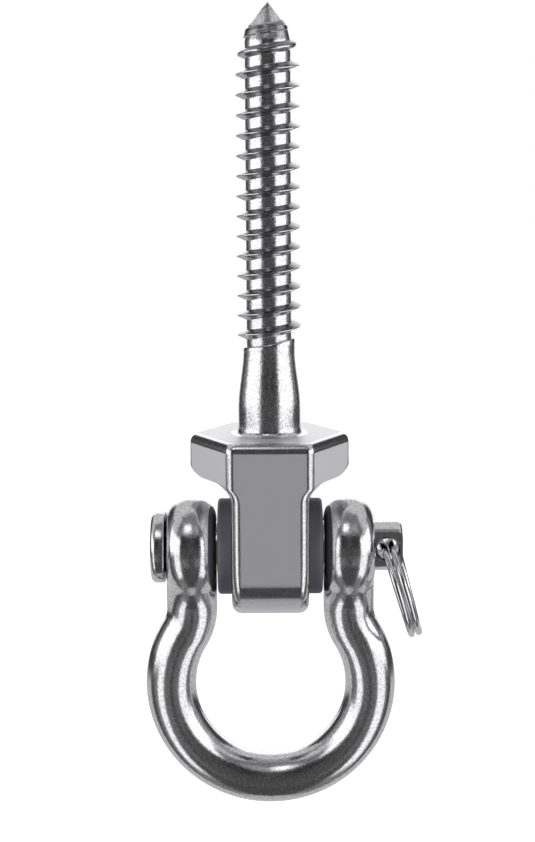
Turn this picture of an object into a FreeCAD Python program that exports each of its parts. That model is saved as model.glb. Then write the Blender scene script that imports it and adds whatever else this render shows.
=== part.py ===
"""Hammock hook: a wood screw hanger that carries a bow shackle on a clevis pin.

The origin is the centre of the hexagon's top face, which seats against the
joist. +Z runs up along the screw, X along the clevis pin with the split ring
at +X, and the shackle hangs towards -Z. All sizes are in millimetres.
"""

import FreeCAD, Part
import math
import os
import re

import Sketcher
from FreeCAD import Placement, Rotation, Vector

# Driving dimensions. Each one is set by itself, and everything else follows.
SIZES = {
    # wood screw: 66 mm above the seat, 10 mm over a coarse thread
    "screw_reach": 66.0,
    "thread_dia": 10.0,
    "core_dia": 7.2,
    "thread_pitch": 3.05,
    "thread_root_width": 1.35,
    "thread_start": 17.0,
    "point_height": 3.7,
    "point_dia": 5.4,
    "point_taper": 2.2,
    "thread_lead": 8.0,
    "thread_runout": 2.6,
    # plain shank between the seat and the thread
    "shank_height": 14.4,
    "shank_straight": 4.5,
    "neck_dia": 8.3,
    "shoulder_slant_angle": 10.0,
    # hexagon and tongue, one casting with the screw
    "hex_across_flats": 22.0,
    "hex_height": 6.5,
    "hex_corner_round": 1.2,
    "hex_top_bevel": 0.6,
    "hex_under_round": 2.4,
    "tongue_thick": 12.0,
    "tongue_edge_bevel": 1.0,
    "tongue_neck_round": 2.8,
    "pin_drop": 18.3,
    # flanged bushes pressed into the tongue from both sides
    "bush_wall": 1.5,
    "bush_flange_dia": 15.2,
    "bush_flange_thick": 2.25,
    "bush_sleeve_length": 5.4,
    "bush_edge_bevel": 0.5,
    "press_clearance": 0.02,
    # bow shackle: 24 mm inside, 40 mm outside, bent from 8 mm rod
    "rod_dia": 8.0,
    "bow_inside": 24.0,
    "bow_drop": 22.7,
    "shoulder_bend": 8.0,
    "ear_dia": 16.0,
    "ear_thick": 8.0,
    "ear_rim_bevel": 1.8,
    "swing_clearance": 0.25,
    # clevis pin with a cross hole for the split ring
    "pin_dia": 8.0,
    "bush_running_clearance": 0.05,
    "ear_running_clearance": 0.08,
    "pin_head_dia": 11.5,
    "pin_head_thick": 2.2,
    "pin_head_bevel": 0.6,
    "head_clearance": 0.1,
    "pin_reach": 4.4,
    "pin_end_bevel": 0.5,
    "cross_hole_dia": 3.4,
    "cross_hole_offset": 2.05,
    # split ring: two turns of round wire through the cross hole
    "ring_outside_dia": 16.5,
    "ring_wire_dia": 1.05,
    "ring_coil_gap": 0.15,
    "ring_turns": 2.0,
    "ring_lean_angle": 15.7,
    "ring_rise": 0.55,
    "ring_seam_angle": 130.0,
}

# Formulas of the sheet, worked out from the driving dimensions.
DERIVED = {
    "core_radius": "core_dia / 2",
    "thread_radius": "thread_dia / 2",
    "point_radius": "point_dia / 2",
    "neck_radius": "neck_dia / 2",
    "taper_end": "screw_reach - point_height - point_taper",
    "point_start": "screw_reach - point_height",
    "flare_height": "shank_height - shank_straight",
    "flare_step": "thread_radius - neck_radius",
    "hex_corner": "hex_across_flats / sqrt(3)",
    "hex_half_width": "hex_across_flats / 2",
    "tongue_half": "tongue_thick / 2",
    "tongue_bottom": "pin_drop + hex_half_width",
    "pin_radius": "pin_dia / 2",
    "bush_bore_radius": "pin_radius + bush_running_clearance",
    "bush_sleeve_radius": "bush_bore_radius + bush_wall",
    "bush_flange_radius": "bush_flange_dia / 2",
    "tongue_bore_radius": "bush_sleeve_radius + press_clearance",
    "rod_radius": "rod_dia / 2",
    "ear_radius": "ear_dia / 2",
    "ear_bore_radius": "pin_radius + ear_running_clearance",
    "ear_inner_x": "tongue_half + bush_flange_thick + swing_clearance",
    "ear_outer_x": "ear_inner_x + ear_thick",
    "leg_x": "ear_inner_x + ear_thick / 2",
    "bow_radius": "(bow_inside + rod_dia) / 2",
    "bend_reach": "bow_radius + shoulder_bend",
    "bend_x": "leg_x + shoulder_bend",
    "bend_rise": "sqrt(bend_reach ^ 2 - bend_x ^ 2)",
    "bend_drop": "bow_drop - bend_rise",
    "bow_top_x": "bow_radius * bend_x / bend_reach",
    "bow_top_drop": "bow_drop - bow_radius * bend_rise / bend_reach",
    "pin_end_x": "ear_outer_x + pin_reach",
    "head_inner_x": "ear_outer_x + head_clearance",
    "head_outer_x": "head_inner_x + pin_head_thick",
    "head_radius": "pin_head_dia / 2",
    "cross_hole_x": "ear_outer_x + cross_hole_offset",
    "ring_radius": "(ring_outside_dia - ring_wire_dia) / 2",
    "ring_pitch": "ring_wire_dia + ring_coil_gap",
}

# How far a cutting or joining shape runs past the face that it works on.
OVERRUN = 1.0
# How deep the thread's root is sunk in the core, so that the two fuse cleanly.
ROOT_SINK = 0.3
# Round rod and wire follow their bends in short straight runs: the turn of one
# run of the bow in radians, and the runs in a turn and sides of the ring's wire.
BEND_STEP = 0.28
RING_STEPS = 30
WIRE_SIDES = 8
# The turn about Z, in degrees, that takes one bush's place to the other's.
HALF_TURN = 180
# The shank flares in three cones: shares of the flare's height and of its step.
FLARE_STEPS = ((0, 0), (0.33, 0.2), (0.67, 0.8), (1, 1))

doc = FreeCAD.newDocument("hammock_hook")
X_AXIS, Y_AXIS, Z_AXIS = Vector(1, 0, 0), Vector(0, 1, 0), Vector(0, 0, 1)


def make_sheet():
    """The spreadsheet that holds every driving dimension and the formulas."""
    sheet = doc.addObject("Spreadsheet::Sheet", "Sizes")
    for row, (name, number) in enumerate(SIZES.items(), start=1):
        sheet.set(f"A{row}", name)
        sheet.set(f"B{row}", str(number))
        sheet.setAlias(f"B{row}", name)
    for row, (name, formula) in enumerate(DERIVED.items(), start=1):
        sheet.set(f"D{row}", name)
        sheet.set(f"E{row}", "=" + formula)
        sheet.setAlias(f"E{row}", name)
    doc.recompute()
    return sheet


sheet = make_sheet()


def bound(formula):
    """The formula with each size's name written as a cell of the sheet."""
    def as_cell(found):
        return "Sizes." + found[0] if found[0] in SIZES or found[0] in DERIVED else found[0]
    return re.sub(r"[a-z_]+", as_cell, str(formula))


def value(formula):
    """What the formula is worth with the sheet's present numbers."""
    return float(sheet.evalExpression(bound(formula)))


def bind(feature, **formulas):
    """Bind properties of a feature to formulas; a double underscore stands for a dot."""
    for path, formula in formulas.items():
        feature.setExpression(path.replace("__", "."), bound(formula))


def plane_of(body, role):
    """One of the body's own origin planes or axes, found by its role."""
    return next(item for item in body.Origin.OriginFeatures if item.Role == role)


def pin_coordinate(sketch, kind, point, formula):
    """Hold one coordinate of a sketch point at a formula of the sheet."""
    number = value(formula)
    if abs(number) < 1e-9:
        sketch.addConstraint(Sketcher.Constraint("PointOnObject", *point, -2 if kind == "DistanceX" else -1))
        return
    ends = (-1, 1, *point) if number > 0 else (*point, -1, 1)
    index = sketch.addConstraint(Sketcher.Constraint(kind, *ends, abs(number)))
    sketch.setExpression(f"Constraints[{index}]", bound(formula if number > 0 else f"-({formula})"))


def pin_point(sketch, point, corner):
    pin_coordinate(sketch, "DistanceX", point, corner[0])
    pin_coordinate(sketch, "DistanceY", point, corner[1])


def draw_arc(sketch, start, end, centre, clockwise):
    """An arc between two corners about a centre, whichever way round it goes."""
    middle, first, last = (Vector(value(at[0]), value(at[1]), 0) for at in (centre, start, end))
    low, high = (last, first) if clockwise else (first, last)
    circle = Part.Circle(middle, Z_AXIS, (first - middle).Length)
    turn = [circle.parameter(low), circle.parameter(high)]
    if turn[1] < turn[0]:
        turn[1] += math.tau
    arc = sketch.addGeometry(Part.ArcOfCircle(circle, *turn))
    chord = last - first
    kind, side = ("DistanceY", 1) if abs(chord.x) > abs(chord.y) else ("DistanceX", 0)
    return arc, (2, 1) if clockwise else (1, 2), (kind, centre[side])


def draw(sketch, corners, arcs=None, closed=True):
    """Join corners given as formulas; arcs maps a side's number to (centre, clockwise)."""
    arcs = arcs or {}
    sides = len(corners) if closed else len(corners) - 1
    ends, bends = [], []
    for number in range(sides):
        start, end = corners[number], corners[(number + 1) % len(corners)]
        if number in arcs:
            geometry, order, bend = draw_arc(sketch, start, end, *arcs[number])
            bends.append((geometry, bend))
        else:
            line = Part.LineSegment(*(Vector(value(at[0]), value(at[1]), 0) for at in (start, end)))
            geometry, order = sketch.addGeometry(line), (1, 2)
        ends.append(((geometry, order[0]), (geometry, order[1])))
    for number in range(sides if closed else sides - 1):
        joint = (*ends[number][1], *ends[(number + 1) % sides][0])
        sketch.addConstraint(Sketcher.Constraint("Coincident", *joint))
    for number, corner in enumerate(corners):
        pin_point(sketch, ends[number][0] if number < sides else ends[-1][1], corner)
    for geometry, (kind, formula) in bends:
        pin_coordinate(sketch, kind, (geometry, 3), formula)


def draw_circle(sketch, centre, radius):
    middle = Vector(value(centre[0]), value(centre[1]), 0)
    circle = sketch.addGeometry(Part.Circle(middle, Z_AXIS, value(radius)))
    pin_point(sketch, (circle, 3), centre)
    index = sketch.addConstraint(Sketcher.Constraint("Radius", circle, value(radius)))
    sketch.setExpression(f"Constraints[{index}]", bound(radius))


def new_sketch(body, name, role):
    """A sketch on one of the body's own origin planes."""
    sketch = body.newObject("Sketcher::SketchObject", name)
    sketch.AttachmentSupport = [(plane_of(body, role), "")]
    sketch.MapMode = "FlatFace"
    return sketch


def loose_sketch(name):
    """A sketch that stands upright in the XZ plane, for the Part features of the screw."""
    sketch = doc.addObject("Sketcher::SketchObject", name)
    sketch.Placement = Placement(Vector(), Rotation(X_AXIS, 90))
    return sketch


def new_body(name, label=None):
    body = doc.addObject("PartDesign::Body", name)
    body.Label = label or name
    return body


def add_feature(body, kind, name, profile, **formulas):
    feature = body.newObject(f"PartDesign::{kind}", name)
    feature.Profile = profile
    bind(feature, **formulas)
    return feature


def edges_where(feature, test):
    """Names of the feature's edges whose bounding box passes the test."""
    return [f"Edge{n}" for n, edge in enumerate(feature.Shape.Edges, start=1) if test(edge.BoundBox)]


def round_edges(body, name, radius, test, kind="Fillet"):
    """A fillet or chamfer of the body's latest shape on the edges that pass the test."""
    doc.recompute()
    base = body.Tip
    feature = body.newObject(f"PartDesign::{kind}", name)
    feature.Base = (base, edges_where(base, test))
    bind(feature, **{"Radius" if kind == "Fillet" else "Size": radius})
    doc.recompute()
    return feature


def near(first, second):
    return abs(first - second) < 1e-4


def revolved(name, corners):
    """A turned solid about the Z axis."""
    sketch = loose_sketch(name + "_outline")
    draw(sketch, corners)
    turned = doc.addObject("Part::Revolution", name)
    turned.Source, turned.Axis, turned.Angle, turned.Solid = sketch, Z_AXIS, 360, True
    return turned


def make_head_casting():
    """Hexagon and tongue: a T-shaped block trimmed to the hexagon and to the tongue's round end."""
    body = new_body("head_casting")
    outline = new_sketch(body, "head_outline", "XZ_Plane")
    wing = f"hex_corner + {OVERRUN} / 4"
    right = [(wing, "0"), (wing, "-hex_height"),
             ("tongue_half", "-hex_height"), ("tongue_half", "-tongue_bottom")]
    left = [(f"-({x})", z) for x, z in reversed(right)]
    draw(outline, right + left)
    block = add_feature(body, "Pad", "head_block", outline, Length="hex_across_flats")
    block.Midplane = True

    def along_y(box):
        return box.XLength < 1e-4 and box.ZLength < 1e-4

    depth, neck = value("hex_height"), value("tongue_half")
    round_edges(body, "neck_fillet", "tongue_neck_round",
                lambda box: along_y(box) and near(box.ZMin, -depth) and near(abs(box.XMin), neck))
    round_edges(body, "wing_fillet", "hex_under_round",
                lambda box: along_y(box) and near(box.ZMin, -depth) and abs(box.XMin) > neck + 1)

    end = new_sketch(body, "tongue_end", "YZ_Plane")
    side, corner = "hex_half_width", "hex_corner"
    outer, low = f"{side} + {OVERRUN}", f"-(tongue_bottom + {OVERRUN})"
    draw(end, [(f"-{side}", "-pin_drop"), (side, "-pin_drop"), (outer, "-pin_drop"), (outer, low),
               (f"-({outer})", low), (f"-({outer})", "-pin_drop")],
         {0: (("0", "-pin_drop"), False)})
    cut_through(body, "tongue_end_cut", end)
    drop = value("pin_drop")
    round_edges(body, "tongue_bevel", "tongue_edge_bevel",
                lambda box: box.ZMin < -drop - 1 and box.XLength < 1e-4, "Chamfer")

    trim = new_sketch(body, "hexagon_trim", "XY_Plane")
    draw(trim, [(corner, "0"), (f"{corner} / 2", side), (f"-{corner} / 2", side),
                (f"-{corner}", "0"), (f"-{corner} / 2", f"-{side}"), (f"{corner} / 2", f"-{side}")])
    far_x, far_y = f"{corner} + {OVERRUN}", f"{side} + {OVERRUN}"
    draw(trim, [(far_x, far_y), (f"-({far_x})", far_y),
                (f"-({far_x})", f"-({far_y})"), (far_x, f"-({far_y})")])
    cut_through(body, "hexagon_cut", trim)
    reach = value("hex_corner")
    round_edges(body, "hex_corner_fillet", "hex_corner_round",
                lambda box: near(abs(box.XMin), reach) and box.XLength < 1e-4 and box.YLength < 1e-4)
    round_edges(body, "hex_top_bevel", "hex_top_bevel",
                lambda box: near(box.ZMin, 0) and near(box.ZMax, 0), "Chamfer")

    bore = new_sketch(body, "bush_bore_outline", "YZ_Plane")
    draw_circle(bore, ("0", "-pin_drop"), "tongue_bore_radius")
    cut_through(body, "bush_bore", bore)
    return body


def cut_through(body, name, profile):
    """A pocket that runs right through the body both ways, and is checked to cut."""
    doc.recompute()
    before = body.Shape.Volume
    pocket = add_feature(body, "Pocket", name, profile)
    pocket.Type, pocket.Midplane = "ThroughAll", True
    doc.recompute()
    if not body.Shape.Volume < before - 1e-3:
        raise RuntimeError(f"{name} cuts nothing")
    return pocket


def make_screw():
    """Core with its cone point, the flared shank with a slanted shoulder, and the thread."""
    core = revolved("screw_core", [
        ("0", "0"), ("core_radius", "0"), ("core_radius", "taper_end"),
        ("point_radius", "point_start"), ("0", "screw_reach")])

    top = f"shank_height + {2 * OVERRUN}"
    flare = [(f"thread_radius - {drop} * flare_step", f"shank_straight + {rise} * flare_height")
             for rise, drop in FLARE_STEPS]
    flare = revolved("shank_flare", [
        ("0", "-hex_height / 2"), ("thread_radius", "-hex_height / 2"), *flare,
        ("neck_radius", top), ("0", top)])
    cutter = doc.addObject("Part::Box", "shoulder_cutter")
    bind(cutter, Length="2 * thread_dia", Width="2 * thread_dia", Height="thread_dia")
    slant = Rotation(Y_AXIS, -value("shoulder_slant_angle"))
    reach = value("thread_dia")
    corner = Vector(0, 0, value("shank_height")) + slant.multVec(Vector(-reach, -reach, 0))
    cutter.Placement = Placement(corner, slant)
    shank = doc.addObject("Part::Cut", "shank")
    shank.Base, shank.Tool = flare, cutter
    return [core, shank, make_thread()]


def make_thread():
    """A right-hand V ridge swept up a helix, then tapered at both ends by a turned envelope."""
    ridge = new_body("thread_ridge")
    section = new_sketch(ridge, "thread_section", "XZ_Plane")
    slope = "thread_root_width / (thread_dia - core_dia)"
    root = f"(thread_root_width / 2 + {ROOT_SINK} * {slope})"
    inner, first = f"core_radius - {ROOT_SINK}", "thread_start - 2 * thread_pitch"
    draw(section, [(inner, f"{first} - {root}"), ("thread_radius", first), (inner, f"{first} + {root}")])
    helix = ridge.newObject("PartDesign::AdditiveHelix", "thread_helix")
    helix.Profile, helix.ReferenceAxis = section, (section, ["V_Axis"])
    bind(helix, Pitch="thread_pitch", Height="screw_reach - thread_start + 2 * thread_pitch")
    helix.Reversed = False

    clear = f"thread_radius + {ROOT_SINK}"
    low = "shank_height - 1"
    high = "screw_reach - point_height / 2"
    envelope = revolved("thread_envelope", [
        ("0", low), (f"core_radius - {2 * ROOT_SINK}", low), (clear, f"{low} + thread_runout"),
        (clear, f"{high} - thread_lead"), (f"point_radius - {ROOT_SINK}", high), ("0", high)])
    thread = doc.addObject("Part::Common", "thread")
    thread.Base, thread.Tool = ridge, envelope
    return thread


def make_hanger():
    """The whole hanger as one solid: screw, hexagon and tongue."""
    pieces = [make_head_casting(), *make_screw()]
    hanger = doc.addObject("Part::MultiFuse", "lag_screw_hanger")
    hanger.Shapes = pieces
    hanger.Refine = False
    return hanger


def turned_on_pin_axis(body, name, corners):
    """A solid turned about the body's own X axis."""
    sketch = new_sketch(body, name + "_outline", "XZ_Plane")
    draw(sketch, corners)
    turned = add_feature(body, "Revolution", name, sketch)
    turned.ReferenceAxis = (sketch, ["H_Axis"])
    turned.Angle = 360
    return turned


def make_bush(name, half_turn):
    """A flanged bush; the left one is the right one turned half round about Z."""
    body = new_body(name)
    turned_on_pin_axis(body, name + "_blank", [
        ("tongue_half - bush_sleeve_length", "bush_bore_radius"),
        ("tongue_half + bush_flange_thick", "bush_bore_radius"),
        ("tongue_half + bush_flange_thick", "bush_flange_radius"), ("tongue_half", "bush_flange_radius"),
        ("tongue_half", "bush_sleeve_radius"), ("tongue_half - bush_sleeve_length", "bush_sleeve_radius")])
    doc.recompute()
    rim, face = value("bush_flange_radius"), value("tongue_half + bush_flange_thick")
    round_edges(body, name + "_rim", "bush_edge_bevel",
                lambda box: near(box.ZMax, rim) and near(box.XMin, face), "Chamfer")
    body.Placement = Placement(Vector(), Rotation(Z_AXIS, half_turn))
    bind(body, Placement__Base__z="-pin_drop")
    return body


def straightened(name, sketch, step):
    """The sketch's path as short straight runs, which keep a bent rod's facets few."""
    doc.recompute()
    wire = Part.Wire(Part.__sortEdges__(sketch.Shape.Edges))
    points = [wire.OrderedVertexes[0].Point]
    for edge in wire.OrderedEdges:
        bend = getattr(edge.Curve, "Radius", 0)
        runs = max(1, round(edge.Length / bend / step)) if bend else 1
        stops = edge.discretize(Number=runs + 1)
        if stops[0].distanceToPoint(points[-1]) > stops[-1].distanceToPoint(points[-1]):
            stops.reverse()
        points += stops[1:]
    path = doc.addObject("Part::Feature", name)
    path.Shape = Part.makePolygon(points)
    return path


def swept(name, section, path):
    """A solid swept along straight runs that meet in mitres."""
    sweep = doc.addObject("Part::Sweep", name)
    sweep.Sections, sweep.Spine, sweep.Solid, sweep.Transition = [section], (path, []), True, "Right corner"
    return sweep


def make_shackle():
    """A bow bent from round rod, with an eye forged at the top of each leg."""
    outline = loose_sketch("bow_outline")
    bind(outline, Placement__Base__z="-pin_drop")
    legs = [("leg_x", "0"), ("leg_x", "-bend_drop"), ("bow_top_x", "-bow_top_drop")]
    others = [(f"-{x}", z) for x, z in reversed(legs)]
    bends = {1: (("bend_x", "-bend_drop"), False), 2: (("0", "-bow_drop"), True),
             3: (("-bend_x", "-bend_drop"), False)}
    draw(outline, legs + others, bends, closed=False)
    section = doc.addObject("Part::Circle", "rod_section")
    bind(section, Radius="rod_radius", Placement__Base__x="leg_x", Placement__Base__z="-pin_drop")
    rod = swept("bow_rod", section, straightened("bow_path", outline, BEND_STEP))

    profile = loose_sketch("ear_outline")
    bind(profile, Placement__Base__z="-pin_drop")
    inner, outer, crown, bevel = "ear_inner_x", "ear_outer_x", "ear_radius", "ear_rim_bevel"
    for side in ("", "-"):
        draw(profile, [(f"{side}{inner}", "0"), (f"{side}{outer}", "0"),
                       (f"{side}{outer}", f"{crown} - {bevel}"), (f"{side}({outer} - {bevel})", crown),
                       (f"{side}({inner} + {bevel})", crown), (f"{side}{inner}", f"{crown} - {bevel}")])
    ears = doc.addObject("Part::Revolution", "ears")
    ears.Source, ears.Axis, ears.Angle, ears.Solid = profile, X_AXIS, 360, True
    bind(ears, Base__z="-pin_drop")
    forging = doc.addObject("Part::MultiFuse", "shackle_forging")
    forging.Shapes = [rod, ears]
    bore = doc.addObject("Part::Cylinder", "ear_bore")
    bore.Placement = Placement(Vector(), Rotation(Y_AXIS, 90))
    bind(bore, Radius="ear_bore_radius", Height=f"2 * (ear_outer_x + {OVERRUN})",
         Placement__Base__x=f"-(ear_outer_x + {OVERRUN})", Placement__Base__z="-pin_drop")
    shackle = doc.addObject("Part::Cut", "bow_shackle")
    shackle.Base, shackle.Tool = forging, bore
    return shackle


def make_pin():
    """A headed pin with a cross hole near its end."""
    body = new_body("clevis_pin")
    turned_on_pin_axis(body, "pin_blank", [
        ("-head_outer_x", "0"), ("pin_end_x", "0"), ("pin_end_x", "pin_radius"),
        ("-head_inner_x", "pin_radius"), ("-head_inner_x", "head_radius"), ("-head_outer_x", "head_radius")])
    doc.recompute()
    rim, head = value("head_radius"), value("-head_outer_x")
    shaft, end = value("pin_radius"), value("pin_end_x")
    round_edges(body, "head_rim", "pin_head_bevel",
                lambda box: near(box.ZMax, rim) and near(box.XMax, head), "Chamfer")
    round_edges(body, "pin_end", "pin_end_bevel",
                lambda box: near(box.XMin, end) and near(box.ZMax, shaft), "Chamfer")
    hole = new_sketch(body, "cross_hole_outline", "XZ_Plane")
    draw_circle(hole, ("cross_hole_x", "0"), "cross_hole_dia / 2")
    cut_through(body, "cross_hole", hole)
    bind(body, Placement__Base__z="-pin_drop")
    return body


def make_ring():
    """Two turns of round wire, leaning out from the cross hole."""
    radius, pitch, turns = value("ring_radius"), value("ring_pitch"), value("ring_turns")
    tilt = Rotation(Y_AXIS, 90 - value("ring_lean_angle"))
    hole = Vector(value("cross_hole_x"), 0, -value("pin_drop"))
    middle = hole + tilt.multVec(Vector(radius - value("ring_rise"), 0, 0))
    seam = value("ring_seam_angle")
    seat = Placement(middle, tilt * Rotation(Z_AXIS, seam))
    steps = round(turns * RING_STEPS)
    turn = Rotation(Z_AXIS, 360 / RING_STEPS)
    # the first strand starts where the strands in the cross hole lie evenly about its middle
    first = seam / 360 - turns / 2
    points, arm = [], Vector(radius, 0, 0)
    for step in range(steps + 1):
        points.append(arm + Z_AXIS * (pitch * (first + step / RING_STEPS)))
        arm = turn.multVec(arm)
    path = doc.addObject("Part::Feature", "ring_path")
    path.Shape = Part.makePolygon(points)
    path.Placement = seat
    section = doc.addObject("Part::RegularPolygon", "wire_section")
    section.Polygon = WIRE_SIDES
    bind(section, Circumradius="ring_wire_dia / 2")
    section.Placement = seat * Placement(points[0], Rotation(Z_AXIS, points[1] - points[0]))
    return swept("split_ring", section, path)


hanger = make_hanger()
bushes = [make_bush("bush_right", 0), make_bush("bush_left", HALF_TURN)]
pieces = [hanger, *bushes, make_shackle(), make_pin(), make_ring()]
doc.recompute()

for item in doc.Objects:
    if "Invalid" in item.State or "Error" in item.State:
        raise RuntimeError(f"{item.Name} didn't build: {item.State}")
for piece in pieces:
    if piece.Shape.isNull() or not piece.Shape.isValid() or len(piece.Shape.Solids) != 1:
        raise RuntimeError(f"{piece.Label} isn't one valid solid")
os.makedirs("parts", exist_ok=True)
for piece in pieces:
    piece.Shape.exportStep(os.path.join("parts", piece.Label + ".step"))
    print(piece.Label, round(piece.Shape.Volume, 1), "mm3")
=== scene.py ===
"""Hammock hook: a polished lag-screw hanger with a bow shackle, dressed for the studio.

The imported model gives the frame, in metres: the seat of the hexagon is the
origin, +Z runs up the screw and +X along the clevis pin towards its ring.
Sizes below are in millimetres, as on a maker's drawing, and every mesh is
turned to metres when it is made.
"""
import logging
import math
from dataclasses import dataclass
from enum import Enum
from typing import Any

import bmesh
import bpy
import numpy as np
from mathutils import Matrix
from numpy.typing import NDArray


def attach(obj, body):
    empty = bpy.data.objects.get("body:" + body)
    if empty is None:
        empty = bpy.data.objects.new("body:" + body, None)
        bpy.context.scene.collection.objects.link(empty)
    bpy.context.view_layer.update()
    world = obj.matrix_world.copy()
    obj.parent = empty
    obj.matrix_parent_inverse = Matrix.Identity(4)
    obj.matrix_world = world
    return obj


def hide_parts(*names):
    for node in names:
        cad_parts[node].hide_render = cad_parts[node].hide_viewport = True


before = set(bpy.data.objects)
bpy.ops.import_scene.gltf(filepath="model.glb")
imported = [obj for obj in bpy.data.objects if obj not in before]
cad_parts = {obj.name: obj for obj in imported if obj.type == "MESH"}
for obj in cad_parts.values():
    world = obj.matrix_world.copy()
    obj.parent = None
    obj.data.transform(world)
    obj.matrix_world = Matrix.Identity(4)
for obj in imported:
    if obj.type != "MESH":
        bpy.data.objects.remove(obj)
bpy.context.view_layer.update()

Array = NDArray[np.float64]
Span = tuple[float, float]
log = logging.getLogger("hammock_hook")
MM = 0.001
# Lowest and highest value that a noise texture mostly gives, for coarse and for small noise.
NOISE_RANGE = {"From Min": 0.3, "From Max": 0.7}
FINE_NOISE_RANGE = {"From Min": 0.35, "From Max": 0.65}
FULL_TURN = 2.0 * math.pi
RIGHT_ANGLE = math.pi / 2.0
WHITE = "#ffffff"
# The clevis pin's axis under the seat, and the way there from the origin.
PIN_DROP = 18.3
TO_PIN = np.array([0.0, 0.0, -PIN_DROP])


class Node(Enum):
    """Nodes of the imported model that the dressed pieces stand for."""

    HANGER = "lag_screw_hanger"
    BUSH_LEFT = "bush_left"
    BUSH_RIGHT = "bush_right"
    SHACKLE = "bow_shackle"
    PIN = "clevis_pin"
    RING = "split_ring"


class Body(Enum):
    """Bodies that move on their own."""

    HANGER = "hanger"
    SHACKLE = "shackle"
    PIN = "pin"
    RING = "ring"


class Slot(Enum):
    """Material slots of the record."""

    HANGER = "hanger_steel"
    BUSH = "bush_nylon"
    SHACKLE = "shackle_steel"
    PIN = "pin_steel"
    RING = "ring_steel"


class Axis(Enum):
    """Axis that a turned shape goes round."""

    X = "x"
    Y = "y"
    Z = "z"


def smooth_step(low: float, high: float, at: Array) -> Array:
    """Ease from 0 at low to 1 at high, which may be below low, with the cubic 3t^2 - 2t^3."""
    share = np.clip((at - low) / (high - low), 0.0, 1.0)
    return share * share * (3.0 - 2.0 * share)


def looked_up(at: Array, table: tuple[Span, ...]) -> Array:
    """Read values off a table of (place, value) rows, straight between them."""
    places, values = zip(*table)
    return np.interp(at, places, values)


def round_angles(columns: int) -> Array:
    """Even angles round a circle, without the last that meets the first."""
    return np.linspace(0.0, FULL_TURN, columns, endpoint=False)


def rounded(corners: list[Span], radii: tuple[float, ...], steps: int = 7) -> Array:
    """Round the corners of a profile.

    Each corner gives way to an arc that touches both its sides: the arc's
    centre lies on the corner's bisector at radius over sine of the half angle.

    Args:
        corners: Corners of the profile in order; the two ends stay sharp.
        radii: Radius for each corner between the ends.
        steps: Points on each arc.

    Returns:
        Points of the profile, one row each.
    """
    path = np.asarray(corners, dtype=float)
    before, corner, after = path[:-2], path[1:-1], path[2:]
    radius = np.asarray(radii, dtype=float)[:, None]
    back = (before - corner) / np.linalg.norm(before - corner, axis=1, keepdims=True)
    ahead = (after - corner) / np.linalg.norm(after - corner, axis=1, keepdims=True)
    half = np.arccos(np.clip(np.sum(back * ahead, axis=1, keepdims=True), -1.0, 1.0)) / 2.0
    bisector = back + ahead
    bisector /= np.maximum(np.linalg.norm(bisector, axis=1, keepdims=True), 1e-12)
    centre = corner + bisector * radius / np.sin(half)
    first = corner + back * radius / np.tan(half) - centre
    last = corner + ahead * radius / np.tan(half) - centre
    share = np.linspace(0.0, 1.0, steps)[None, :, None]
    sweep = (math.pi - 2.0 * half)[:, :, None]
    arc = np.sin((1.0 - share) * sweep) * first[:, None] + np.sin(share * sweep) * last[:, None]
    points = (centre[:, None] + arc / np.sin(sweep)).reshape(-1, 2)
    return np.vstack([path[:1], points, path[-1:]])


def turned(profile: Array, axis: Axis, columns: int = 96) -> Array:
    """Turn a profile about an axis.

    A profile point (along, radius) goes to the circle of that radius in the
    plane across the axis: radius times cosine and sine of the column's angle.

    Args:
        profile: Rows of (along, radius).
        axis: Axis to turn about.
        columns: Points round the circle.

    Returns:
        Grid of points, rows by columns by 3.
    """
    angle = round_angles(columns)
    along = np.broadcast_to(profile[:, :1], (len(profile), columns))
    first, second = profile[:, 1:] * np.cos(angle), profile[:, 1:] * np.sin(angle)
    order = {Axis.X: (along, first, second), Axis.Y: (second, along, first),
             Axis.Z: (first, second, along)}
    return np.stack(order[axis], axis=-1)


def placed(name: str, data: bpy.types.ID) -> bpy.types.Object:
    """Put a mesh, lamp or camera into the scene as an object at the origin.

    Args:
        name: Name of the object.
        data: What it shows.

    Returns:
        The object.
    """
    thing = bpy.data.objects.new(name, data)
    bpy.context.scene.collection.objects.link(thing)
    return thing


def grid_mesh(name: str, grid: Array, wrap: bool, marks: dict[str, Array]) -> bpy.types.Mesh:
    """Make a mesh of four-sided faces over a grid of points.

    Args:
        name: Name of the mesh.
        grid: Points in metres, rows by columns by 3.
        wrap: Whether the last column joins the first.
        marks: Named values of the points, rows by columns.

    Returns:
        The mesh.
    """
    index = np.arange(grid.shape[0] * grid.shape[1]).reshape(grid.shape[:2])
    left, right = (index, np.roll(index, -1, axis=1)) if wrap else (index[:, :-1], index[:, 1:])
    faces = np.stack([left[:-1], right[:-1], right[1:], left[1:]], axis=-1).reshape(-1, 4)
    mesh = bpy.data.meshes.new(name)
    mesh.from_pydata(grid.reshape(-1, 3).tolist(), [], faces.tolist())
    for mark, values in marks.items():
        layer = mesh.attributes.new(mark, "FLOAT", "POINT")
        layer.data.foreach_set("value", values.astype(np.float32).reshape(-1))
    return mesh


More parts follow.
